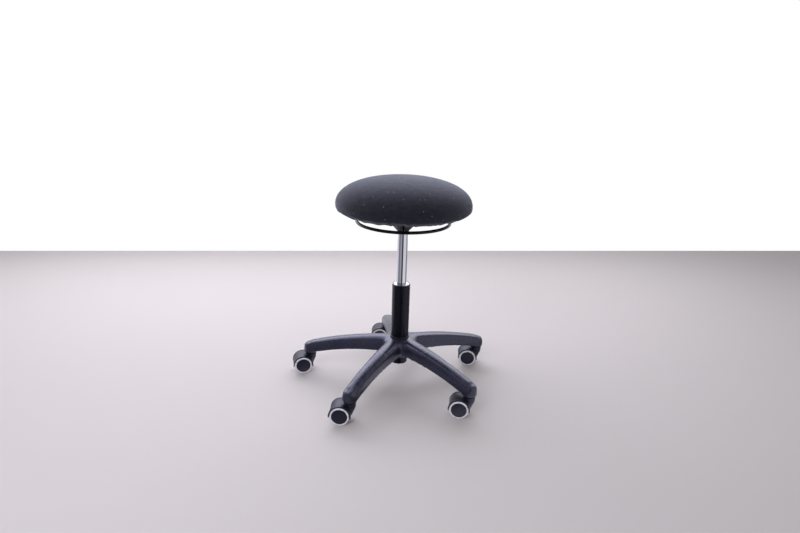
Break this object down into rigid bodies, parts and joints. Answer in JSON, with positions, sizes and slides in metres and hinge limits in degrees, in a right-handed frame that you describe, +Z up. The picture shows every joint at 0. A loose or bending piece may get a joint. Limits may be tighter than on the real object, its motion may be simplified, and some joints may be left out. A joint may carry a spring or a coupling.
{
  "type": "wobble stool",
  "caption": "Rolling wobble stool: round padded seat on a ball joint, gas lift with a ring lever, five-legged base with twin-wheel casters.",
  "frame": {"origin": "on the floor, under the middle of the bounding box of the whole stool; the column's axis is at x 0.032201, y -0.013320", "axes": "+Z up; -Y is the side seen in the picture; +X to the right in the picture"},
  "size_m": [0.5754, 0.5496, 0.5956],
  "materials": {
    "base_nylon": "dark slate glass-filled nylon, satin moulded",
    "caster_nylon": "black nylon, smooth moulded",
    "grey_tread": "light grey soft tread",
    "tube_enamel": "black stove enamel, semi-gloss",
    "socket_enamel": "satin black enamel",
    "bush_acetal": "black acetal, glossy",
    "liner_acetal": "natural acetal",
    "chrome": "polished chrome plate",
    "rod_steel": "ground bright steel",
    "zinc_steel": "bright zinc-plated steel",
    "buffer_rubber": "black rubber",
    "seat_wool": "charcoal woven wool",
    "seat_foam": "moulded polyurethane foam",
    "board_ply": "birch plywood",
    "dust_felt": "black non-woven felt"
  },
  "bodies": {
    "base": {"star_base": "base_nylon", "stand_tube": "tube_enamel", "tube_collar": "bush_acetal", "guide_bush": "bush_acetal", "caster_stem_rear": "zinc_steel", "caster_stem_left": "zinc_steel", "caster_stem_front_left": "zinc_steel", "caster_stem_front_right": "zinc_steel", "caster_stem_right": "zinc_steel"},
    "rod": {"piston_rod": "rod_steel", "piston_head": "rod_steel", "thrust_bearing": "rod_steel", "rod_clip": "zinc_steel"},
    "lift": {"gas_cylinder": "chrome", "cylinder_gland": "rod_steel", "socket_cone": "socket_enamel", "retaining_ring": "zinc_steel", "rubber_buffer": "buffer_rubber"},
    "valve": {"valve_button": "zinc_steel"},
    "lever": {"ring_lever": "tube_enamel"},
    "liner": {"ball_liner": "liner_acetal"},
    "seat": {"seat_plate": "socket_enamel", "seat_board": "board_ply", "seat_foam": "seat_foam", "seat_cover": "seat_wool", "dust_cover": "dust_felt", "seat_screw_1": "zinc_steel", "seat_screw_2": "zinc_steel", "seat_screw_3": "zinc_steel", "seat_screw_4": "zinc_steel"},
    "caster_rear": {"caster_housing_rear": "caster_nylon", "caster_axle_rear": "zinc_steel"},
    "caster_left": {"caster_housing_left": "caster_nylon", "caster_axle_left": "zinc_steel"},
    "caster_front_left": {"caster_housing_front_left": "caster_nylon", "caster_axle_front_left": "zinc_steel"},
    "caster_front_right": {"caster_housing_front_right": "caster_nylon", "caster_axle_front_right": "zinc_steel"},
    "caster_right": {"caster_housing_right": "caster_nylon", "caster_axle_right": "zinc_steel"},
    "rear_near": {"wheel_rear_near": "caster_nylon", "tyre_rear_near": "grey_tread"},
    "rear_far": {"wheel_rear_far": "caster_nylon", "tyre_rear_far": "grey_tread"},
    "left_near": {"wheel_left_near": "caster_nylon", "tyre_left_near": "grey_tread"},
    "left_far": {"wheel_left_far": "caster_nylon", "tyre_left_far": "grey_tread"},
    "front_left_near": {"wheel_front_left_near": "caster_nylon", "tyre_front_left_near": "grey_tread"},
    "front_left_far": {"wheel_front_left_far": "caster_nylon", "tyre_front_left_far": "grey_tread"},
    "front_right_near": {"wheel_front_right_near": "caster_nylon", "tyre_front_right_near": "grey_tread"},
    "front_right_far": {"wheel_front_right_far": "caster_nylon", "tyre_front_right_far": "grey_tread"},
    "right_near": {"wheel_right_near": "caster_nylon", "tyre_right_near": "grey_tread"},
    "right_far": {"wheel_right_far": "caster_nylon", "tyre_right_far": "grey_tread"}
  },
  "joints": [
    {"name": "swivel", "type": "hinge", "parent": "base", "child": "rod", "pos_m": [0.0322, -0.01332, 0.0668], "axis": [0, 0, 1], "continuous": true},
    {"name": "height", "type": "slide", "parent": "rod", "child": "lift", "axis": [0, 0, 1], "range_m": [-0.135, 0]},
    {"name": "ring_lift", "type": "hinge", "parent": "lift", "child": "lever", "pos_m": [0.0322, -0.05132, 0.4753], "axis": [-1, 0, 0], "range_deg": [0, 3], "stiffness_Nm_per_rad": 10, "springref_deg": -5.73},
    {"name": "valve_press", "type": "slide", "parent": "lift", "child": "valve", "axis": [0, 0, -1], "range_m": [0, 0.002]},
    {"name": "tilt_x", "type": "hinge", "parent": "lift", "child": "liner", "pos_m": [0.0322, -0.01332, 0.5], "axis": [1, 0, 0], "range_deg": [-6, 6], "stiffness_Nm_per_rad": 80},
    {"name": "tilt_y", "type": "hinge", "parent": "liner", "child": "seat", "pos_m": [0.0322, -0.01332, 0.5], "axis": [0, 1, 0], "range_deg": [-6, 6], "stiffness_Nm_per_rad": 80},
    {"name": "caster_swivel_rear", "type": "hinge", "parent": "base", "child": "caster_rear", "pos_m": [-0.00843, 0.24915, 0.05], "axis": [0, 0, 1], "continuous": true},
    {"name": "caster_swivel_left", "type": "hinge", "parent": "base", "child": "caster_left", "pos_m": [-0.22998, 0.02915, 0.05], "axis": [0, 0, 1], "continuous": true},
    {"name": "caster_swivel_front_left", "type": "hinge", "parent": "base", "child": "caster_front_left", "pos_m": [-0.0892, -0.24955, 0.05], "axis": [0, 0, 1], "continuous": true},
    {"name": "caster_swivel_front_right", "type": "hinge", "parent": "base", "child": "caster_front_right", "pos_m": [0.21935, -0.20178, 0.05], "axis": [0, 0, 1], "continuous": true},
    {"name": "caster_swivel_right", "type": "hinge", "parent": "base", "child": "caster_right", "pos_m": [0.26927, 0.10643, 0.05], "axis": [0, 0, 1], "continuous": true},
    {"name": "roll_rear_near", "type": "hinge", "parent": "caster_rear", "child": "rear_near", "pos_m": [-0.03243, 0.24915, 0.025], "axis": [0, 1, 0], "continuous": true},
    {"name": "roll_rear_far", "type": "hinge", "parent": "caster_rear", "child": "rear_far", "pos_m": [-0.03243, 0.24915, 0.025], "axis": [0, 1, 0], "continuous": true},
    {"name": "roll_left_near", "type": "hinge", "parent": "caster_left", "child": "left_near", "pos_m": [-0.25337, 0.02375, 0.025], "axis": [-0.225, 0.9744, 0], "continuous": true},
    {"name": "roll_left_far", "type": "hinge", "parent": "caster_left", "child": "left_far", "pos_m": [-0.25337, 0.02375, 0.025], "axis": [-0.225, 0.9744, 0], "continuous": true},
    {"name": "roll_front_left_near", "type": "hinge", "parent": "caster_front_left", "child": "front_left_near", "pos_m": [-0.11317, -0.24829, 0.025], "axis": [0.0523, 0.9986, 0], "continuous": true},
    {"name": "roll_front_left_far", "type": "hinge", "parent": "caster_front_left", "child": "front_left_far", "pos_m": [-0.11317, -0.24829, 0.025], "axis": [0.0523, 0.9986, 0], "continuous": true},
    {"name": "roll_front_right_near", "type": "hinge", "parent": "caster_front_right", "child": "front_right_near", "pos_m": [0.19565, -0.19803, 0.025], "axis": [0.1564, 0.9877, 0], "continuous": true},
    {"name": "roll_front_right_far", "type": "hinge", "parent": "caster_front_right", "child": "front_right_far", "pos_m": [0.19565, -0.19803, 0.025], "axis": [0.1564, 0.9877, 0], "continuous": true},
    {"name": "roll_right_near", "type": "hinge", "parent": "caster_right", "child": "right_near", "pos_m": [0.24536, 0.10852, 0.025], "axis": [0.0872, 0.9962, 0], "continuous": true},
    {"name": "roll_right_far", "type": "hinge", "parent": "caster_right", "child": "right_far", "pos_m": [0.24536, 0.10852, 0.025], "axis": [0.0872, 0.9962, 0], "continuous": true}
  ],
  "couplings": [
    {"joint": "valve_press", "follows": "ring_lift", "m_per_rad": 0.038}
  ]
}
